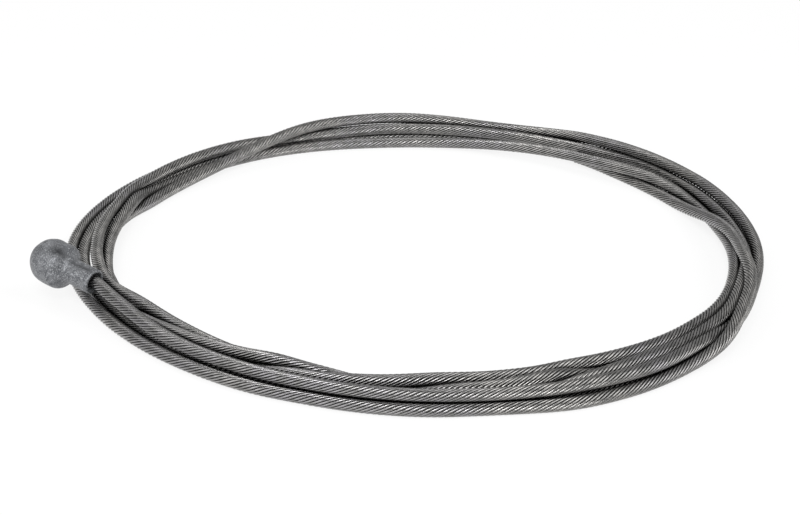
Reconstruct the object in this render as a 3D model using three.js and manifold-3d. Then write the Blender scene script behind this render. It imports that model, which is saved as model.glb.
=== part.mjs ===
// Bicycle brake cable: a bare steel wire strand wound into a round coil that lies flat,
// with the cast head that sits in the brake lever. Millimetres, +Z up.
import * as THREE from "three";
import { mergeVertices } from "three/addons/utils/BufferGeometryUtils.js";
import Module from "manifold-3d";

const wasm = await Module();
wasm.setup();

// Strand
const cableDiameter = 1.6;
const cableLength = 1500;

// Coil: the turns lie in a band that stands on its flat underside
const coilOuterRadius = 45;
const coilWidth = 4.6;
const turnFill = 0.68; // share of the coil's section that the round turns fill
const coilEdgeRadius = 0.9; // rounding of the band's four edges
const coilSegments = 72;
const coilEdgeSteps = 3;

// Head: a cast body with a domed end, a round shoulder and a neck round the strand
const headDiameter = 5.8;
const headBodyLength = 4.3; // dome tip to the start of the shoulder
const shoulderLength = 1.9;
const neckDiameter = 3.2;
const neckLength = 3.5;
const socketDiameter = 2.4; // hollow in the neck's end, where the strand comes out
const socketDepth = 0.8;
const headSegments = 28;
const headCurveSteps = 7;
const shoulderFullness = 0.6; // how long the shoulder keeps the body's thickness
const neckBlend = 0.5; // how early it starts to follow the neck

// Where the head lies on the coil
const headAngle = 206; // degrees round the coil, from +X, to the neck's end
const neckEndInset = 1; // from the coil's outer edge inwards
const headTurnIn = 31; // degrees between the head's axis and the coil's tangent
const headDip = 7.5; // degrees that the axis falls from the dome to the neck

// Lead: the strand from the neck to where it joins the turns
const leadSides = 8;
const leadSteps = 12;
const leadRise = cableDiameter / 4; // height of its middle over the coil's top
const leadSink = 0.3; // how far it then sinks between the turns
const gap = 0.3; // kept between pieces that touch
const mergeDistance = 1e-4;

const steel = new THREE.MeshStandardMaterial({ color: 0x77777a, roughness: 0.35, metalness: 1 });
const castZinc = new THREE.MeshStandardMaterial({ color: 0x7c7f82, roughness: 0.6, metalness: 0.8 });

const radians = THREE.MathUtils.degToRad;

// The coil's height follows from the strand: turns times the strand's section, loosely filled
const coilMeanRadius = coilOuterRadius - coilWidth / 2;
const turns = cableLength / (2 * Math.PI * coilMeanRadius);
const strandSection = (Math.PI * cableDiameter ** 2) / 4;
const coilHeight = (turns * strandSection) / (turnFill * coilWidth);

function solidOf(geometry) {
  const bare = geometry.index ? geometry.toNonIndexed() : geometry.clone();
  bare.deleteAttribute("normal");
  bare.deleteAttribute("uv");
  const merged = mergeVertices(bare, mergeDistance);
  return new wasm.Manifold(
    new wasm.Mesh({
      numProp: 3,
      vertProperties: merged.getAttribute("position").array,
      triVerts: new Uint32Array(merged.getIndex().array),
    }),
  );
}

function geometryOf(solid) {
  const mesh = solid.getMesh();
  const geometry = new THREE.BufferGeometry();
  geometry.setAttribute("position", new THREE.BufferAttribute(mesh.vertProperties, 3));
  geometry.setIndex(new THREE.BufferAttribute(mesh.triVerts, 1));
  return geometry;
}

// Band with rounded edges, turned about +Z
function coilBand() {
  const inner = coilOuterRadius - coilWidth;
  const section = new THREE.Path();
  section.moveTo(inner + coilEdgeRadius, 0);
  section.lineTo(coilOuterRadius - coilEdgeRadius, 0);
  section.absarc(coilOuterRadius - coilEdgeRadius, coilEdgeRadius, coilEdgeRadius, -Math.PI / 2, 0);
  section.absarc(coilOuterRadius - coilEdgeRadius, coilHeight - coilEdgeRadius, coilEdgeRadius, 0, Math.PI / 2);
  section.absarc(inner + coilEdgeRadius, coilHeight - coilEdgeRadius, coilEdgeRadius, Math.PI / 2, Math.PI);
  section.absarc(inner + coilEdgeRadius, coilEdgeRadius, coilEdgeRadius, Math.PI, (3 * Math.PI) / 2);
  const points = section.getPoints(coilEdgeSteps);
  const ring = new THREE.LatheGeometry(points, coilSegments);
  ring.rotateX(Math.PI / 2);
  return ring;
}

// Head turned about +Y, with the neck's end at the origin and the dome towards -Y.
// grow makes it larger all round, for the hollow that it lies in.
function headTurned(grow, withSocket) {
  const radius = headDiameter / 2 + grow;
  const neck = neckDiameter / 2 + grow;
  const shoulderStart = -(neckLength + shoulderLength);
  const domeCentre = shoulderStart - headBodyLength + headDiameter / 2;
  const outline = new THREE.Path();
  outline.moveTo(0, domeCentre - radius);
  outline.absarc(0, domeCentre, radius, -Math.PI / 2, 0);
  outline.lineTo(radius, shoulderStart);
  outline.bezierCurveTo(
    radius,
    shoulderStart + shoulderLength * shoulderFullness,
    neck,
    shoulderStart + shoulderLength * neckBlend,
    neck,
    shoulderStart + shoulderLength,
  );
  outline.lineTo(neck, grow);
  if (withSocket) {
    outline.lineTo(socketDiameter / 2, 0);
    outline.lineTo(socketDiameter / 2, -socketDepth);
    outline.lineTo(0, -socketDepth);
  } else {
    outline.lineTo(0, grow);
  }
  return new THREE.LatheGeometry(outline.getPoints(headCurveSteps), headSegments);
}

// Turns a +Y piece so that it points along the head's axis and moves it to the neck's end
const axisHeading = radians(headAngle + 90 + headTurnIn);
const headAxis = new THREE.Vector3(
  Math.cos(axisHeading) * Math.cos(radians(headDip)),
  Math.sin(axisHeading) * Math.cos(radians(headDip)),
  -Math.sin(radians(headDip)),
);
const neckEnd = onCoil(0, neckEndInset, leadRise);
const headPlace = new THREE.Matrix4().compose(
  neckEnd,
  new THREE.Quaternion().setFromUnitVectors(new THREE.Vector3(0, 1, 0), headAxis),
  new THREE.Vector3(1, 1, 1),
);

// A point given by degrees past the head, distance inside the outer edge, height over the top
function onCoil(degreesPastHead, inset, overTop) {
  const angle = radians(headAngle + degreesPastHead);
  const radius = coilOuterRadius - inset;
  return new THREE.Vector3(radius * Math.cos(angle), radius * Math.sin(angle), coilHeight + overTop);
}

// The lead's middle line: out of the socket along the head's axis, then round with the turns
function leadPoints(start) {
  return [
    neckEnd.clone().addScaledVector(headAxis, start),
    neckEnd.clone().addScaledVector(headAxis, cableDiameter),
    onCoil(4.5, 1.9, leadRise - leadSink),
    onCoil(8, 1.95, leadRise - leadSink),
    onCoil(12, 2, leadRise - leadSink),
    onCoil(17, 1.95, leadRise - leadSink),
    onCoil(22, 2.25, leadRise - leadSink),
  ];
}

function leadTube(grow, start) {
  const radius = cableDiameter / 2 + grow;
  const section = new THREE.Shape();
  for (let side = 0; side < leadSides; side += 1) {
    const angle = (2 * Math.PI * (side + 0.5)) / leadSides;
    const x = radius * Math.cos(angle);
    const y = radius * Math.sin(angle);
    if (side === 0) section.moveTo(x, y);
    else section.lineTo(x, y);
  }
  section.closePath();
  return new THREE.ExtrudeGeometry(section, {
    extrudePath: new THREE.CatmullRomCurve3(leadPoints(start)),
    steps: leadSteps,
    bevelEnabled: false,
  });
}

// The turns leave a hollow under the head and a groove for the lead
function coilBody() {
  const headHollow = headTurned(gap, false).applyMatrix4(headPlace);
  const groove = leadTube(gap, -cableDiameter);
  const hollowed = solidOf(coilBand()).subtract(solidOf(headHollow)).subtract(solidOf(groove));
  return geometryOf(hollowed);
}

function named(name, geometry, material) {
  const mesh = new THREE.Mesh(geometry, material);
  mesh.name = name;
  return mesh;
}

const cable = new THREE.Group();
cable.add(named("cable_coil", coilBody(), steel));
cable.add(named("cable_lead", leadTube(0, gap - socketDepth), steel));
cable.add(named("cable_head", headTurned(0, true).applyMatrix4(headPlace), castZinc));

// The origin is under the middle of the whole piece, on the surface that it lies on
const box = new THREE.Box3().setFromObject(cable);
const middle = box.getCenter(new THREE.Vector3());
cable.position.set(-middle.x, -middle.y, -box.min.z);

export default cable;
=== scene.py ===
import math
import bpy
import numpy as np
from mathutils import Euler, Matrix, Vector


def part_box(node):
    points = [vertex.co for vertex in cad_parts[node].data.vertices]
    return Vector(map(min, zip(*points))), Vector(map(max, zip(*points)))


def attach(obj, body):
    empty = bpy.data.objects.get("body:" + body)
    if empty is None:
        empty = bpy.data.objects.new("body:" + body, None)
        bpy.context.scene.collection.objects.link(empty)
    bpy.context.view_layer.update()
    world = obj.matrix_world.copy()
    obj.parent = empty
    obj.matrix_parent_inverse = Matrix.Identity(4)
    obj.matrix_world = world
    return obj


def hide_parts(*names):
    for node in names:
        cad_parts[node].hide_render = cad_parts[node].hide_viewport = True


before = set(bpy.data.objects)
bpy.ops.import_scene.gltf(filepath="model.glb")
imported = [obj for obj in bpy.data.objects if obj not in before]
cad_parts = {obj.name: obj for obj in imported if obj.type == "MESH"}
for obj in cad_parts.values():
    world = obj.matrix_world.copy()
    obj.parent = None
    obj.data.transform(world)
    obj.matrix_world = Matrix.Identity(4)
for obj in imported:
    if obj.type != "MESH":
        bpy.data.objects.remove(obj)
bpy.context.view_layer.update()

# Bicycle brake cable: a bare steel strand wound into a flat coil, with its cast head. Metres.

# Where the coil lies in the frame
coilLow, coilHigh = (np.array(corner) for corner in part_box("cable_coil"))
coilMiddle = (coilLow + coilHigh) / 2
coilRadius = (coilHigh - coilLow)[1] / 2

camera = {
    "elevation": 23.72,     # degrees
    "distance": 0.2467,     # from the coil's middle on the floor
    "lens": 84.45,          # millimetres
    "sensorWidth": 36,      # millimetres
    "roll": 1.46,           # degrees, picture turned clockwise
    "frameSize": (800, 515),
    "middlePixel": (422.0, 256.7),      # where the coil's middle on the floor shows
    "nearest": 0.01,        # start of what it sees
}


def makeCamera():
    # It looks at the coil's middle on the floor from in front and above, and the shift moves
    # that point to its place in the picture
    data = bpy.data.cameras.new("camera")
    data.lens = camera["lens"]
    data.sensor_width = camera["sensorWidth"]
    width, height = camera["frameSize"]
    pixelX, pixelY = camera["middlePixel"]
    data.shift_x = (width / 2 - pixelX) / width
    data.shift_y = (pixelY - height / 2) / width
    data.clip_start = camera["nearest"]
    obj = bpy.data.objects.new("camera", data)
    rise = math.radians(camera["elevation"])
    target = Vector((coilMiddle[0], coilMiddle[1], 0))
    obj.location = target + camera["distance"] * Vector((0, -math.cos(rise), math.sin(rise)))
    facing = Euler((math.pi / 2 - rise, 0, 0)).to_matrix()
    roll = Matrix.Rotation(math.radians(camera["roll"]), 3, "Z")
    obj.rotation_euler = (facing @ roll).to_euler()
    bpy.context.scene.collection.objects.link(obj)
    bpy.context.scene.camera = obj


def tube(name, rings):
    # rings is an array (rings along, points round, 3). Neighbouring rings are joined by quads,
    # and each end is closed by a fan to its middle.
    count, sides, _ = rings.shape
    points = np.vstack([rings.reshape(-1, 3), rings[0].mean(axis=0), rings[-1].mean(axis=0)])
    startMiddle, endMiddle = count * sides, count * sides + 1
    ring, side = np.meshgrid(np.arange(count - 1), np.arange(sides), indexing="ij")
    nextSide = (side + 1) % sides
    quads = np.stack([ring * sides + side, ring * sides + nextSide,
                      (ring + 1) * sides + nextSide, (ring + 1) * sides + side], axis=-1)
    rim = np.arange(sides)
    rimNext = (rim + 1) % sides
    startFan = np.stack([rimNext, rim, np.full(sides, startMiddle)], axis=1)
    endFan = np.stack([rim, rimNext, np.full(sides, endMiddle)], axis=1)
    endFan[:, :2] += (count - 1) * sides
    corners = np.concatenate([quads.ravel(), startFan.ravel(), endFan.ravel()])
    totals = np.concatenate([np.full(quads.size // 4, 4), np.full(2 * sides, 3)])
    mesh = bpy.data.meshes.new(name)
    mesh.vertices.add(len(points))
    mesh.vertices.foreach_set("co", points.ravel())
    mesh.loops.add(len(corners))
    mesh.loops.foreach_set("vertex_index", corners)
    mesh.polygons.add(len(totals))
    mesh.polygons.foreach_set("loop_start", np.concatenate([[0], np.cumsum(totals)[:-1]]))
    mesh.polygons.foreach_set("loop_total", totals)
    mesh.polygons.foreach_set("use_smooth", np.ones(len(totals), dtype=bool))
    mesh.update(calc_edges=True)
    mesh.validate()
    obj = bpy.data.objects.new(name, mesh)
    bpy.context.scene.collection.objects.link(obj)
    return obj


def shadeAttribute(obj, name, values):
    # One number for each point of the mesh, for the material to read
    layer = obj.data.attributes.new(name, "FLOAT", "POINT")
    layer.data.foreach_set("value", np.asarray(values, dtype=np.float32))


# Angles are in radians, and a place along the axis counts from the neck's end, with the dome's
# side below 0
head = {
    "diameter": 0.0058,
    "bodyLength": 0.0043,       # dome tip to the start of the shoulder
    "shoulderLength": 0.0019,
    "shoulderFullness": 0.6,    # how long the shoulder keeps the body's thickness
    "neckBlend": 0.5,           # how early it starts to follow the neck
    "neckDiameter": 0.0032,
    "neckLength": 0.0035,
    "edgeRadius": 0.00022,      # rounding of the neck's rim
    "socketDiameter": 0.0024,   # hollow in the neck's end, where the strand comes out
    "socketDepth": 0.0008,
    "dents": 0.00004,           # depth of the casting's soft dents
    # Each dent wave: waves round the head, radians per metre along it, and where it starts
    "dentWaves": ((2, 1900, 0), (3, -2700, 1), (5, 3300, 2)),
    "seamHeight": 0.00005,      # short raised arc where the dome meets the body
    "seamWidth": 0.0001,
    "seamPlace": (-0.0067, 0.08, 0.26),     # place along the axis, angle, half its length as an angle
    "seamSoftness": 0.03,                   # angle in which the arc fades at its ends
    "patch": (-0.0053, 1.2, 0.0012, 0.28),  # dark patch on the upper side: place, angle, and their spreads
    "strip": (-0.002, 1.3, 0.0018, 0.2),    # dark strip along the neck and shoulder, likewise
    "roundSteps": 144,
    "domeSteps": 34,
    "bodySteps": 8,
    "shoulderSteps": 24,
    "neckSteps": 16,
    "rimSteps": 7,
    "wallSteps": 6,
    "floorSteps": 5,
    "tipAngle": 0.004,          # from the dome's tip to its first ring
    "floorMiddle": 0.00005,     # radius of the last ring, on the hollow's floor
    "bodyShare": 0.45,          # a CAD point further off the axis, in diameters, is on the body
    "neckEndReach": 0.0002,     # a CAD point within this of the neck's end is on its ring
}


def placeHead():
    # The CAD head's axis is the long direction of its points, and its neck is the end away from
    # the thick body
    obj = bpy.data.objects["cable_head"]
    points = np.array([obj.matrix_world @ vertex.co for vertex in obj.data.vertices])
    centre = points.mean(axis=0)
    axis = np.linalg.svd(points - centre, full_matrices=False)[2][0]
    along = (points - centre) @ axis
    away = np.linalg.norm(points - centre - along[:, None] * axis, axis=1)
    body = along[away > head["bodyShare"] * head["diameter"]].mean()
    if body > (along.min() + along.max()) / 2:
        axis = -axis
        along = -along
    neckRing = points[along > along.max() - head["neckEndReach"]]
    return neckRing.mean(axis=0), axis


def straightRun(start, end, radius, steps):
    # Points of a profile at one radius, evenly spaced along the axis
    return np.stack([np.linspace(start, end, steps), np.full(steps, radius)], axis=1)


def headProfile():
    # (distance along the axis from the neck's end, radius), from the dome's tip round the body,
    # shoulder and neck to the rim, and down into the hollow to its floor. The dome and the rim
    # are arcs, and the shoulder is a cubic curve with four corners.
    radius, neck = head["diameter"] / 2, head["neckDiameter"] / 2
    socket, edge = head["socketDiameter"] / 2, head["edgeRadius"]
    shoulder = -(head["neckLength"] + head["shoulderLength"])
    domeMiddle = shoulder - head["bodyLength"] + radius
    arc = np.linspace(head["tipAngle"], math.pi / 2, head["domeSteps"])
    dome = np.stack([domeMiddle - radius * np.cos(arc), radius * np.sin(arc)], axis=1)
    body = straightRun(domeMiddle, shoulder, radius, head["bodySteps"])[1:-1]
    t = np.linspace(0, 1, head["shoulderSteps"])[:, None]
    corners = np.array([(shoulder, radius),
                        (shoulder + head["shoulderFullness"] * head["shoulderLength"], radius),
                        (shoulder + head["neckBlend"] * head["shoulderLength"], neck),
                        (-head["neckLength"], neck)])
    blend = ((1 - t) ** 3 * corners[0] + 3 * (1 - t) ** 2 * t * corners[1]
             + 3 * (1 - t) * t ** 2 * corners[2] + t ** 3 * corners[3])
    straight = straightRun(-head["neckLength"], -edge, neck, head["neckSteps"])[1:-1]
    turn = np.linspace(0, math.pi / 2, head["rimSteps"])
    rim = np.stack([-edge + edge * np.sin(turn), neck - edge + edge * np.cos(turn)], axis=1)
    lip = np.stack([edge / 2 * (np.cos(turn) - 1), socket - edge / 2 * (np.sin(turn) - 1)], axis=1)
    wall = straightRun(-edge, -head["socketDepth"], socket, head["wallSteps"])
    inward = np.linspace(socket, head["floorMiddle"], head["floorSteps"])[1:]
    floor = np.stack([np.full(len(inward), -head["socketDepth"]), inward], axis=1)
    return np.vstack([dome, body, blend, straight, rim, lip, wall, floor])


def makeHead(neckEnd, axis):
    # The profile turned about the axis: a point lies at neckEnd + axis s + r (side cos a +
    # top sin a). Outside the hollow, r shrinks with soft dents, a sum of three slow waves, and
    # grows with the seam, a low arc across the axis.
    profile = headProfile()
    steps = head["roundSteps"]
    side = np.cross(axis, (0, 0, 1.0))
    side /= np.linalg.norm(side)
    top = np.cross(side, axis)
    around = np.linspace(0, 2 * np.pi, steps, endpoint=False)
    along, radius = profile[:, :1], profile[:, 1:]
    hollowRings = head["wallSteps"] + head["floorSteps"] - 1
    outside = np.arange(len(profile))[:, None] < len(profile) - hollowRings
    full = np.clip(radius / (head["neckDiameter"] / 2), 0, 1)
    waves = sum(np.sin(number * around + rate * along + start)
                for number, rate, start in head["dentWaves"]) / len(head["dentWaves"])
    place, angle, reach = head["seamPlace"]
    fromSeam = np.abs((around - angle + np.pi) % (2 * np.pi) - np.pi)
    seam = (np.exp(-((along - place) / head["seamWidth"]) ** 2)
            / (1 + np.exp((fromSeam - reach) / head["seamSoftness"])))
    radius = radius + outside * full * (head["dents"] * (waves - 1) + head["seamHeight"] * seam)
    outward = side * np.cos(around)[:, None] + top * np.sin(around)[:, None]
    rings = neckEnd + along[:, :, None] * axis + radius[:, :, None] * outward[None]
    piece = tube("cast_head", rings)
    # The dark patch and strip, both bell-shaped, make one attribute; "hollow" is 1 inside the neck's
    # end, and "seam" is 1 along the arc
    darkening = np.zeros_like(seam)
    for place, angle, alongSpread, roundSpread in (head["patch"], head["strip"]):
        darkening = np.maximum(darkening, np.exp(-((along - place) / alongSpread) ** 4
                                           - ((around - angle) / roundSpread) ** 2))
    hollow = np.repeat(~outside, steps, axis=1) * 1.0
    for name, values in (("darkening", darkening), ("hollow", hollow), ("seam", seam)):
        endValues = (values[0].mean(), values[-1].mean())
        shadeAttribute(piece, name, np.append(values.ravel(), endValues))
    return piece


strand = {
    "diameter": 0.0016,
    "length": 1.5,
    "outerWires": 12,
    "wireDiameter": 0.00031,
    "layLength": 0.0088,      # one turn of the outer wires, left-handed
    "coreRadius": 0.00058,    # inner wires, taken as one round core
    "wireSides": 10,
    "coreSides": 12,
    "ringSpacing": 0.00066,
    "farOff": 1.0,            # stands in for a turn that the strand doesn't have
}

# The strand's way out of the head
leaving = {
    "start": 0.6,           # where it starts in the neck, in depths of the hollow
    "straight": 0.55,       # how far it runs straight out, in strand diameters
    "straightPoints": 3,
    "skipped": 3,           # first points of the turns, which the straight run takes the place of
    "easing": 8,            # rounds that smooth the whole path
}

# The turns in order from the head, each a list of (degrees round the coil, inset of the
# strand's middle from the coil's outer radius, height of its middle over that of a strand on
# the floor), with the last two in strand diameters. They were set from how the turns
# cross.
turns = [
    [(206, 0.65, 2), (208, 0.85, 1.95), (210, 0.98, 1.9), (213, 1.15, 1.8), (217, 1.25, 1.7),
     (222, 1.2, 1.5), (230, 1.45, 1.05), (240, 1.6, 0.9), (250, 1.4, 0.92), (262, 1.3, 0.9),
     (270, 1.2, 0.9), (277, 1.1, 0.9), (287, 1, 0.9), (293, 0.85, 0.95), (300, 0.7, 1),
     (307, 0.65, 0.95), (313, 0.7, 0.87), (320, 0.85, 0.8), (327, 1, 0.8), (333, 1.15, 0.85),
     (339, 1.3, 0.95), (345, 1.44, 1), (350, 1.35, 1.1), (360, 1.28, 1.25), (371, 1.15, 1.5),
     (380, 1, 1.6), (390, 0.9, 1.65), (405, 0.8, 1.72), (414, 0.7, 1.65), (420, 0.45, 1.4),
     (426, 0.25, 1.2), (435, 0.15, 1.05), (441, 0.2, 1.2), (447, 0.3, 1.5), (453, 0.35, 1.75),
     (460, 0.5, 1.78), (467, 0.95, 1.8), (473, 1.4, 1.75), (478, 1.9, 1.65), (483, 2.25, 1.35),
     (488, 2.55, 1), (493, 2.85, 0.65), (499, 3.05, 0.4), (505, 3.1, 0.2), (512, 3, 0.05),
     (518, 2.7, 0), (523, 2.4, 0), (530, 2.1, 0), (538, 2.1, 0), (547, 2.38, 0), (557, 2.65, 0)],
    [(206, 2.75, 0), (220, 2.75, 0), (230, 2.65, 0), (240, 2.55, 0.1), (246, 2.45, 0.3),
     (251, 2.35, 0.7), (256, 2.5, 0.87), (262, 2.78, 0.85), (270, 2.95, 0.9), (277, 3.25, 1.05),
     (283, 3.35, 1.06), (288, 3.45, 1), (293, 3.47, 0.93), (300, 3.22, 1.07), (307, 3.08, 1.12),
     (313, 2.97, 1.1), (327, 2.65, 1), (333, 2.55, 1), (339, 2.45, 0.95), (345, 2.5, 0.9),
     (350, 2.65, 0.85), (356, 2.6, 0.8), (362, 2.45, 0.75), (371, 2.35, 0.45), (380, 2.12, 0.2),
     (386, 2.05, 0.35), (392, 2.25, 0.65), (398, 2.6, 0.8), (405, 2.9, 0.9), (412, 3.1, 0.85),
     (423, 3, 0.7), (435, 2.75, 0.4), (445, 2.45, 0.05), (460, 2.5, 0), (467, 2.3, 0),
     (473, 2.1, 0), (483, 1.85, 0), (493, 1.8, 0), (499, 1.85, 0), (505, 1.9, 0),
     (512, 1.95, 0.05), (518, 2, 0.3), (523, 2.35, 0.6), (529, 2.6, 0.8), (535, 2.65, 0.87),
     (546, 2.58, 0.86), (555, 2.45, 0.84)],
    [(200, 2.3, 0.8), (206, 2.08, 0.78), (210, 2.02, 0.82), (214, 2.05, 1), (217, 2.1, 1.1),
     (222, 2.2, 1.2), (230, 2.5, 1.2), (236, 2.75, 1.2), (240, 2.85, 1.2), (245, 2.92, 1.1),
     (250, 3.1, 0.85), (256, 3.45, 0.4), (262, 3.75, 0), (270, 3.55, 0), (278, 3.05, 0),
     (285, 2.45, 0.05), (290, 2.1, 0.3), (295, 1.9, 0.7), (300, 1.8, 1), (307, 1.85, 1.1),
     (313, 1.85, 1.08), (320, 1.7, 0.9), (327, 1.6, 0.87), (333, 1.6, 1), (339, 1.8, 1.35),
     (345, 1.9, 1.5), (350, 1.9, 1.5), (356, 1.75, 1.3), (362, 1.6, 1.1), (371, 1.5, 0.93),
     (380, 1.35, 0.9), (390, 1.2, 0.87), (405, 0.7, 0.9), (417, 0.75, 0.92), (435, 0.95, 0.88),
     (453, 1, 0.87), (460, 1, 0.87), (473, 1.4, 0.9), (478, 1.5, 0.9), (483, 1.3, 0.95),
     (488, 1, 1), (499, 0.95, 1), (505, 1, 0.95), (512, 1.05, 0.9), (518, 1.4, 0.92),
     (523, 1.62, 0.97), (529, 1.78, 1.03), (535, 1.92, 1.12), (546, 2, 1.4), (555, 1.88, 1.6)],
    [(206, 1.6, 1.6), (210, 1.78, 1.5), (213, 2.08, 1.42), (217, 2.45, 1.32), (222, 3, 1.22),
     (230, 3.45, 0.95), (236, 3.55, 0.6), (245, 3.5, 0.1), (250, 3.25, 0), (256, 2.7, 0),
     (262, 2.25, 0), (270, 2.2, 0.2), (278, 2.25, 0.65), (287, 2.3, 0.9), (293, 2.4, 0.8),
     (300, 2.6, 0.5), (307, 2.65, 0.3), (313, 2.6, 0.1), (320, 2.5, 0), (330, 2.5, 0),
     (345, 2.5, 0), (360, 2.25, 0), (371, 1.85, 0), (380, 1.3, 0), (390, 1.1, 0), (400, 0.9, 0),
     (405, 0.8, 0), (412, 0.5, 0), (420, 0.2, 0), (430, 0.4, 0), (440, 0.6, 0), (470, 0.6, 0),
     (500, 0.6, 0), (523, 0.55, 0), (535, 0.45, 0), (543, 0.52, 0), (549, 0.68, 0),
     (556, 0.95, 0), (562, 1.22, 0)],
    [(206, 1.4, 0), (212, 1.65, 0), (222, 1.85, 0), (240, 2.15, 0), (262, 2.1, 0), (272, 1.9, 0),
     (280, 1.65, 0), (287, 1.35, 0), (293, 1.2, 0), (300, 1.15, 0), (307, 1.15, 0), (314, 1.2, 0),
     (330, 1.4, 0), (345, 1.5, 0), (356, 1.4, 0), (365, 1.05, 0), (371, 0.85, 0), (380, 0.3, 0),
     (390, 0.05, 0), (400, -0.15, 0), (412, -0.5, 0), (420, -0.7, 0), (430, -0.5, 0),
     (440, -0.4, 0), (470, -0.45, 0), (500, -0.4, 0), (523, -0.45, 0), (535, -0.53, 0),
     (540, -0.45, 0), (545, -0.3, 0), (550, -0.1, 0), (556, 0.2, 0), (562, 0.5, 0)],
    [(206, 0.65, 0), (210, 0.82, 0), (222, 1.02, 0), (230, 1.3, 0), (240, 1.35, 0), (250, 1.2, 0),
     (262, 1.17, 0), (277, 1.2, 0), (284, 1.1, 0), (287, 0.9, 0), (290, 0.6, 0), (293, 0.35, 0),
     (300, 0.13, 0), (307, 0.2, 0), (313, 0.35, 0.2), (320, 0.4, 0.6), (327, 0.55, 1.05),
     (333, 0.8, 1.5), (339, 1.05, 1.85), (345, 1.65, 2.15), (350, 2.25, 2.1), (356, 2.45, 1.9),
     (362, 2.6, 1.65), (371, 2.85, 1.1), (378, 2.85, 0.55), (385, 2.85, 0.1), (390, 2.8, 0),
     (398, 2.78, 0), (405, 2.62, 0), (411, 2.1, 0), (415, 1.6, 0), (418, 1.25, 0), (420, 1.1, 0)],
]

settling = {
    "degreesPerStep": 1.0,
    "laneEasing": 6,     # rounds that smooth the lanes first
    "rounds": 160,
    "pull": 0.05,        # how firmly a turn keeps to its lane
    "stiffness": 0.35,   # how firmly the strand resists a sharp bend
    "push": 0.8,         # share of an overlap that one round takes out
}


def laneValues():
    # Each turn starts a full circle after the one before it, and the lanes are joined end to end
    keys = []
    for number, turn in enumerate(turns):
        keys += [(degrees + 360 * number, inset, level) for degrees, inset, level in turn]
    keys = np.array(keys)
    step = settling["degreesPerStep"]
    angle = np.arange(keys[0, 0], keys[-1, 0] + step / 2, step)
    inset = np.interp(angle, keys[:, 0], keys[:, 1])
    level = np.interp(angle, keys[:, 0], keys[:, 2])
    return angle, inset, level


def eased(values, times):
    # Moves each value half way to the middle of its two neighbours
    values = values.copy()
    for _ in range(times):
        values[1:-1] += 0.5 * (0.5 * (values[:-2] + values[2:]) - values[1:-1])
    return values


def settleTurns():
    # Each round draws the strand to its lanes, straightens it a little, pushes turns that lie
    # closer than one diameter apart and keeps them on the floor. Lengths are in diameters.
    angle, inset, level = laneValues()
    inset = eased(inset, settling["laneEasing"])
    level = eased(level, settling["laneEasing"])
    insetLane, levelLane = inset.copy(), level.copy()
    perTurn = int(round(360 / settling["degreesPerStep"]))
    count = len(angle)
    for _ in range(settling["rounds"]):
        inset += settling["pull"] * (insetLane - inset)
        level += settling["pull"] * (levelLane - level)
        for values in (inset, inset, level, level):
            middle = 0.5 * (values[1:-3] + values[3:-1])
            values[2:-2] += settling["stiffness"] * (middle - values[2:-2])
        insetPush, levelPush = np.zeros(count), np.zeros(count)
        for apart in range(perTurn, count, perTurn):
            lower, upper = slice(0, count - apart), slice(apart, count)
            across = inset[upper] - inset[lower]
            rise = level[upper] - level[lower]
            distance = np.hypot(across, rise) + 1e-9    # never quite 0
            push = np.clip(1 - distance, 0, None) / 2
            insetPush[lower] -= push * across / distance
            levelPush[lower] -= push * rise / distance
            insetPush[upper] += push * across / distance
            levelPush[upper] += push * rise / distance
        inset += settling["push"] * insetPush
        level = np.maximum(level + settling["push"] * levelPush, 0)
    return angle, inset, level


def cordPath(neckEnd, headAxis):
    # A turn's point is (R cos a, R sin a, z) round the coil's middle, with R the coil's outer
    # radius less the inset, and z half a diameter more than the level. The strand starts in
    # the head's hollow, on the head's axis.
    angle, inset, level = settleTurns()
    diameter = strand["diameter"]
    radius = coilRadius - inset * diameter
    turned = np.radians(angle)
    laid = np.stack([coilMiddle[0] + radius * np.cos(turned),
                     coilMiddle[1] + radius * np.sin(turned),
                     diameter * (0.5 + level)], axis=1)
    start = neckEnd - headAxis * leaving["start"] * head["socketDepth"]
    distances = np.linspace(0, leaving["straight"] * diameter, leaving["straightPoints"])
    out = neckEnd + headAxis * distances[:, None]
    points = np.vstack([start, out, laid[leaving["skipped"]:]])
    travelled = np.r_[0, np.cumsum(np.linalg.norm(np.diff(points, axis=0), axis=1))]
    wanted = np.arange(0, min(travelled[-1], strand["length"]), strand["ringSpacing"])
    path = np.stack([np.interp(wanted, travelled, points[:, k]) for k in range(3)], axis=1)
    for _ in range(leaving["easing"]):
        path[2:-2] = 0.5 * path[2:-2] + 0.25 * (path[1:-3] + path[3:-1])
    return path


def framesAlong(path):
    # Two unit vectors square to the path at each of its points: side is level, and top points
    # up from the floor as far as the path's direction allows
    tangent = np.gradient(path, axis=0)
    tangent /= np.linalg.norm(tangent, axis=1)[:, None]
    side = np.cross(tangent, (0, 0, 1.0))
    side /= np.linalg.norm(side, axis=1)[:, None]
    top = np.cross(side, tangent)
    return side, top


def ringsRound(path, side, top, radius, sides):
    # Points round each path point: centre + radius (side cos t + top sin t)
    around = np.linspace(0, 2 * np.pi, sides, endpoint=False)
    return (path[:, None] + radius * (side[:, None] * np.cos(around)[None, :, None]
                                      + top[:, None] * np.sin(around)[None, :, None]))


def otherTurns(path):
    # For each path point, the strand's middle at the same angle round the coil in every other
    # turn, or a point far off where the strand has no such turn
    around = np.unwrap(np.arctan2(path[:, 1] - coilMiddle[1], path[:, 0] - coilMiddle[0]))
    far = strand["farOff"]
    others = []
    for away in range(1, len(turns)):
        for shifted in (around - 2 * np.pi * away, around + 2 * np.pi * away):
            others.append(np.stack([np.interp(shifted, around, path[:, k], left=far, right=far)
                                    for k in range(3)], axis=1))
    return others


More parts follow.
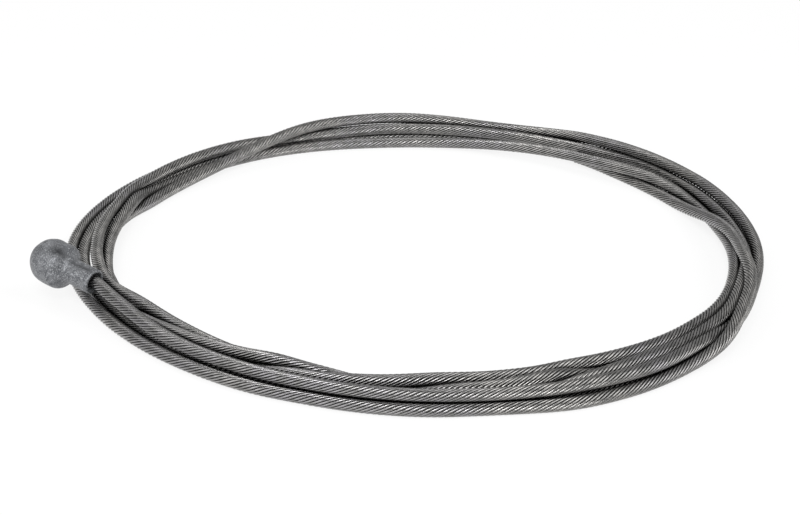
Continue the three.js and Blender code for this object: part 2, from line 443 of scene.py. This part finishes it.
def clearOf(rings, others):
    # Distance from each point to the nearest other turn's middle, in strand diameters: 0.5
    # where two turns touch
    nearest = np.full(rings.shape[:2], strand["farOff"])
    for other in others:
        nearest = np.minimum(nearest, np.linalg.norm(rings - other[:, None], axis=2))
    return nearest / strand["diameter"]


def makeStrand(path):
    # Each outer wire is a helix on the path: its middle lies at the wire circle's radius, and
    # it turns once round with each lay length travelled, which makes a left-hand lay.
    # "crest" is 1 on the wire's outward side and 0 where it lies against the core, and "clear"
    # is the distance to the nearest other turn's middle.
    side, top = framesAlong(path)
    travelled = np.r_[0, np.cumsum(np.linalg.norm(np.diff(path, axis=0), axis=1))]
    core = tube("strand_core", ringsRound(path, side, top, strand["coreRadius"], strand["coreSides"]))
    # A crest of 0 gives the core the painted shade and grime colour of the grooves
    shadeAttribute(core, "crest", np.zeros(len(core.data.vertices)))
    wireCircle = (strand["diameter"] - strand["wireDiameter"]) / 2
    around = np.linspace(0, 2 * np.pi, strand["wireSides"], endpoint=False)
    crest = np.append(np.tile(0.5 + 0.5 * np.sin(around), len(path)), (0.5, 0.5))
    others = otherTurns(path)
    wires = []
    for number in range(strand["outerWires"]):
        turn = 2 * np.pi * (number / strand["outerWires"] + travelled / strand["layLength"])
        outward = side * np.cos(turn)[:, None] + top * np.sin(turn)[:, None]
        middle = path + wireCircle * outward
        wireAlong = np.gradient(middle, axis=0)
        wireAlong /= np.linalg.norm(wireAlong, axis=1)[:, None]
        wireSide = np.cross(wireAlong, outward)
        wireSide /= np.linalg.norm(wireSide, axis=1)[:, None]
        wireTop = np.cross(wireSide, wireAlong)
        rings = ringsRound(middle, wireSide, wireTop, strand["wireDiameter"] / 2, strand["wireSides"])
        wire = tube("outer_wire_%02d" % (number + 1), rings)
        shadeAttribute(wire, "crest", crest)
        shadeAttribute(wire, "clear", np.append(clearOf(rings, others).ravel(), (1, 1)))
        wires.append(wire)
    return core, wires


def newGroup(name, inputs, outputs):
    # A shader node group with its sockets, and its input and output nodes
    group = bpy.data.node_groups.new(name, "ShaderNodeTree")
    for socket, kind, value in inputs:
        made = group.interface.new_socket(socket, in_out="INPUT", socket_type=kind)
        made.default_value = value
    for socket, kind in outputs:
        group.interface.new_socket(socket, in_out="OUTPUT", socket_type=kind)
    return group, group.nodes.new("NodeGroupInput"), group.nodes.new("NodeGroupOutput")


def addNode(tree, kind, **settings):
    # A node with the settings that are named
    node = tree.nodes.new(kind)
    for key, value in settings.items():
        setattr(node, key, value)
    return node


def readAttribute(tree, name):
    # A number that shadeAttribute gave the mesh
    return addNode(tree, "ShaderNodeAttribute", attribute_name=name).outputs["Fac"]


def maths(tree, operation, first, second):
    # A Math node on two sockets; a number is set on the node
    node = addNode(tree, "ShaderNodeMath", operation=operation)
    for value, socket in ((first, node.inputs[0]), (second, node.inputs[1])):
        if isinstance(value, float):
            socket.default_value = value
        else:
            tree.links.new(value, socket)
    return node.outputs[0]


def mapped(tree, source, low, high, toLow=0.0, toHigh=1.0):
    # Maps low..high to toLow..toHigh, smoothly and without going past either
    node = addNode(tree, "ShaderNodeMapRange", interpolation_type="SMOOTHSTEP")
    tree.links.new(source, node.inputs["Value"])
    node.inputs["From Min"].default_value = low
    node.inputs["From Max"].default_value = high
    node.inputs["To Min"].default_value = toLow
    node.inputs["To Max"].default_value = toHigh
    return node.outputs["Result"]


def mixed(tree, factor, first, second):
    # A colour mix, whose two colours are sockets 6 and 7; one that isn't a socket is set there
    node = addNode(tree, "ShaderNodeMix", data_type="RGBA")
    tree.links.new(factor, node.inputs["Factor"])
    for colour, socket in ((first, node.inputs[6]), (second, node.inputs[7])):
        if isinstance(colour, tuple):
            socket.default_value = (*colour, 1)
        else:
            tree.links.new(colour, socket)
    return node.outputs[2]


def mottleGroup():
    # Patches from 0 to 1 in object space, of a size set by Scale, with edges set by Softness
    inputs = [("Scale", "NodeSocketFloat", 400.0), ("Softness", "NodeSocketFloat", 0.15)]
    group, into, out = newGroup("mottle", inputs, [("Value", "NodeSocketFloat")])
    place = addNode(group, "ShaderNodeTexCoord")
    noise = addNode(group, "ShaderNodeTexNoise")
    noise.inputs["Detail"].default_value = 4.0
    group.links.new(place.outputs["Object"], noise.inputs["Vector"])
    group.links.new(into.outputs["Scale"], noise.inputs["Scale"])
    low = maths(group, "SUBTRACT", 0.5, into.outputs["Softness"])
    high = maths(group, "ADD", 0.5, into.outputs["Softness"])
    patch = addNode(group, "ShaderNodeMapRange", interpolation_type="SMOOTHSTEP")
    group.links.new(noise.outputs["Fac"], patch.inputs["Value"])
    group.links.new(low, patch.inputs["From Min"])
    group.links.new(high, patch.inputs["From Max"])
    group.links.new(patch.outputs["Result"], out.inputs["Value"])
    return group


def mottle(tree, group, scale, softness):
    # The mottle group placed in a material, with its own values
    node = addNode(tree, "ShaderNodeGroup", node_tree=group)
    node.inputs["Scale"].default_value = scale
    node.inputs["Softness"].default_value = softness
    return node.outputs["Value"]


def startMaterial(name, metallic):
    # A material with a plain Metallic, and its tree and shader
    material = bpy.data.materials.new(name)
    material.use_nodes = True
    shader = material.node_tree.nodes["Principled BSDF"]
    shader.inputs["Metallic"].default_value = metallic
    return material, material.node_tree, shader


def addBump(tree, shader, height, strength, distance):
    # Fine relief from a pattern of heights
    bump = addNode(tree, "ShaderNodeBump")
    bump.inputs["Strength"].default_value = strength
    bump.inputs["Distance"].default_value = distance
    tree.links.new(height, bump.inputs["Height"])
    tree.links.new(bump.outputs["Normal"], shader.inputs["Normal"])


steel = {
    "metallic": 1.0,
    "cool": (0.315, 0.308, 0.318),
    "warm": (0.38, 0.371, 0.358),
    "dull": (0.24, 0.238, 0.232),
    # painted shade, with some oil and dust, for the grooves and where turns touch
    "shadeAndGrime": (0.04, 0.039, 0.038),
    "groove": (0.6, 0.92),      # shares of the crest at which painted shade and grime give way to clean metal
    "touch": (0.56, 0.8),       # the same by distance to the next turn's middle, in diameters
    "roughness": (0.2, 0.34),
    "tintPatches": (60, 0.1),   # scale and softness of each kind of patch
    "dullPatches": (900, 0.2),
    "polishPatches": (1500, 0.2),
    "marks": (9000, 0.3),       # fine marks left by the drawing
    "markHeight": (0.15, 0.00002),      # strength and distance of their bump
}


def drawnSteel(group):
    # Bright on each wire's crest, with painted shade and some oil and dust dark in the grooves
    # and where turns touch, and a slight change of tint along the strand
    material, tree, shader = startMaterial("drawn_steel", steel["metallic"])
    tint = mixed(tree, mottle(tree, group, *steel["tintPatches"]), steel["cool"], steel["warm"])
    worn = mixed(tree, mottle(tree, group, *steel["dullPatches"]), tint, steel["dull"])
    outOfGroove = mapped(tree, readAttribute(tree, "crest"), *steel["groove"])
    clearOfTurns = mapped(tree, readAttribute(tree, "clear"), *steel["touch"])
    # Painted shade and grime: the dark colour goes where the wires dip into the grooves and where
    # turns touch
    unshadedClean = maths(tree, "MULTIPLY", outOfGroove, clearOfTurns)
    tree.links.new(mixed(tree, unshadedClean, steel["shadeAndGrime"], worn), shader.inputs["Base Color"])
    polish = mottle(tree, group, *steel["polishPatches"])
    tree.links.new(mapped(tree, polish, 0, 1, *steel["roughness"]), shader.inputs["Roughness"])
    addBump(tree, shader, mottle(tree, group, *steel["marks"]), *steel["markHeight"])
    return material


zinc = {
    "metallic": 0.55,
    "dark": (0.09, 0.094, 0.102),
    "middle": (0.165, 0.17, 0.18),
    "pale": (0.5, 0.51, 0.53),
    "darkMarks": (0.02, 0.021, 0.023),
    # a paler grey painted in the hollow as light that doesn't reach it
    "inside": (0.28, 0.285, 0.295),
    "roughness": (0.38, 0.6),
    "patches": (1400, 0.15),        # scale and softness of each kind of patch
    "specks": (7000, 0.12),
    "speckFrom": 0.6,               # value of its pattern at which a speck starts
    "speckShare": 0.5,              # how pale a speck gets
    "unevenDark": (700, 0.25),
    "unevenDarkShare": (0.55, 1.0),     # how dark the marks get, at least and at most
    "seamFrom": 0.4,                # how far up the arc its pale line starts
    "seamShare": 0.6,               # how pale that line gets
    "hollowEdge": (0.3, 0.9),       # where the hollow's painted light starts and is full
    "pits": (3000, 0.3),
    "pitDepth": (0.5, 0.00006),     # strength and distance of their bump
}


def castZinc(group):
    # Dull grey in darker and lighter patches, with fine pale specks from the mould, dark marks on
    # the upper side, a pale line along the raised arc, and painted light that makes the hollow
    # lighter
    material, tree, shader = startMaterial("cast_zinc", zinc["metallic"])
    patches = mixed(tree, mottle(tree, group, *zinc["patches"]), zinc["dark"], zinc["middle"])
    speck = mottle(tree, group, *zinc["specks"])
    speckShare = mapped(tree, speck, zinc["speckFrom"], 1.0, 0, zinc["speckShare"])
    specks = mixed(tree, speckShare, patches, zinc["pale"])
    uneven = mapped(tree, mottle(tree, group, *zinc["unevenDark"]), 0, 1, *zinc["unevenDarkShare"])
    # Darker on the upper side: a patch on the dome and a strip along the neck and shoulder, unevenly
    unevenDark = maths(tree, "MULTIPLY", readAttribute(tree, "darkening"), uneven)
    darker = mixed(tree, unevenDark, specks, zinc["darkMarks"])
    seam = mapped(tree, readAttribute(tree, "seam"), zinc["seamFrom"], 1.0, 0, zinc["seamShare"])
    lined = mixed(tree, seam, darker, zinc["pale"])
    hollow = mapped(tree, readAttribute(tree, "hollow"), *zinc["hollowEdge"])
    # Painted light: the hollow gets a paler grey so that it doesn't render dark
    tree.links.new(mixed(tree, hollow, lined, zinc["inside"]), shader.inputs["Base Color"])
    tree.links.new(mapped(tree, speck, 0, 1, *zinc["roughness"]), shader.inputs["Roughness"])
    addBump(tree, shader, mottle(tree, group, *zinc["pits"]), *zinc["pitDepth"])
    return material


stage = {
    "halfSize": 3.0,
    "colour": (0.9, 0.9, 0.9, 1),
    "whiteShare": 0.85,     # how much of what is seen is plain white, and not lit
}


def makeStage():
    # A pale floor. Where the camera, gloss or glass sees it, most of it is plain white, and the
    # rest takes the light, so that it keeps the object's shadow.
    half = stage["halfSize"]
    corners = [(-half, -half, 0), (half, -half, 0), (half, half, 0), (-half, half, 0)]
    mesh = bpy.data.meshes.new("floor")
    mesh.from_pydata(corners, [], [(0, 1, 2, 3)])
    floor = bpy.data.objects.new("floor", mesh)
    bpy.context.scene.collection.objects.link(floor)
    material = bpy.data.materials.new("pale_floor")
    material.use_nodes = True
    tree = material.node_tree
    tree.nodes.clear()
    matt = addNode(tree, "ShaderNodeBsdfDiffuse")
    matt.inputs["Color"].default_value = stage["colour"]
    white = addNode(tree, "ShaderNodeEmission")
    rays = addNode(tree, "ShaderNodeLightPath").outputs
    direct = maths(tree, "MAXIMUM", rays["Is Camera Ray"], rays["Is Glossy Ray"])
    seen = maths(tree, "MAXIMUM", direct, rays["Is Transmission Ray"])
    mix = addNode(tree, "ShaderNodeMixShader")
    output = addNode(tree, "ShaderNodeOutputMaterial")
    tree.links.new(maths(tree, "MULTIPLY", seen, stage["whiteShare"]), mix.inputs["Fac"])
    tree.links.new(matt.outputs[0], mix.inputs[1])
    tree.links.new(white.outputs[0], mix.inputs[2])
    tree.links.new(mix.outputs[0], output.inputs["Surface"])
    mesh.materials.append(material)


worldColour = (0.48, 0.48, 0.48, 1)
lamps = {
    "key": {"place": (-0.05, -0.42, 0.45), "size": 0.3, "power": 2.1},
    "back": {"place": (-0.25, 0.3, 0.5), "size": 0.4, "power": 0.5},
    "fill": {"place": (0.5, -0.2, 0.45), "size": 0.5, "power": 1.9},
    "left": {"place": (-0.4, -0.35, 0.2), "size": 0.4, "power": 0.8},
}


def makeLight():
    # An even grey world, and round lamps that all point at the frame's origin
    world = bpy.data.worlds.new("studio")
    bpy.context.scene.world = world
    world.use_nodes = True
    world.node_tree.nodes["Background"].inputs["Color"].default_value = worldColour
    for name, lamp in lamps.items():
        data = bpy.data.lights.new(name, "AREA")
        data.shape = "DISK"
        data.size = lamp["size"]
        data.energy = lamp["power"]
        obj = bpy.data.objects.new(name, data)
        obj.location = lamp["place"]
        obj.rotation_euler = (-Vector(lamp["place"])).to_track_quat("-Z", "Y").to_euler()
        bpy.context.scene.collection.objects.link(obj)


scene = bpy.context.scene
scene.view_settings.view_transform = "Standard"

makeCamera()
print("camera placed")

neckEnd, headAxis = placeHead()
path = cordPath(neckEnd, headAxis)
core, wires = makeStrand(path)
for piece in [core] + wires:
    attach(piece, "root")
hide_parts("cable_coil", "cable_lead")
print("strand laid,", round(float(np.linalg.norm(np.diff(path, axis=0), axis=1).sum()), 4), "m long")

castHead = makeHead(neckEnd, headAxis)
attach(castHead, "root")
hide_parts("cable_head")
print("head cast")

patches = mottleGroup()
strandMetal = drawnSteel(patches)
for piece in [core] + wires:
    piece.data.materials.append(strandMetal)
castHead.data.materials.append(castZinc(patches))
print("materials made")

makeStage()
makeLight()
print("stage and light set")
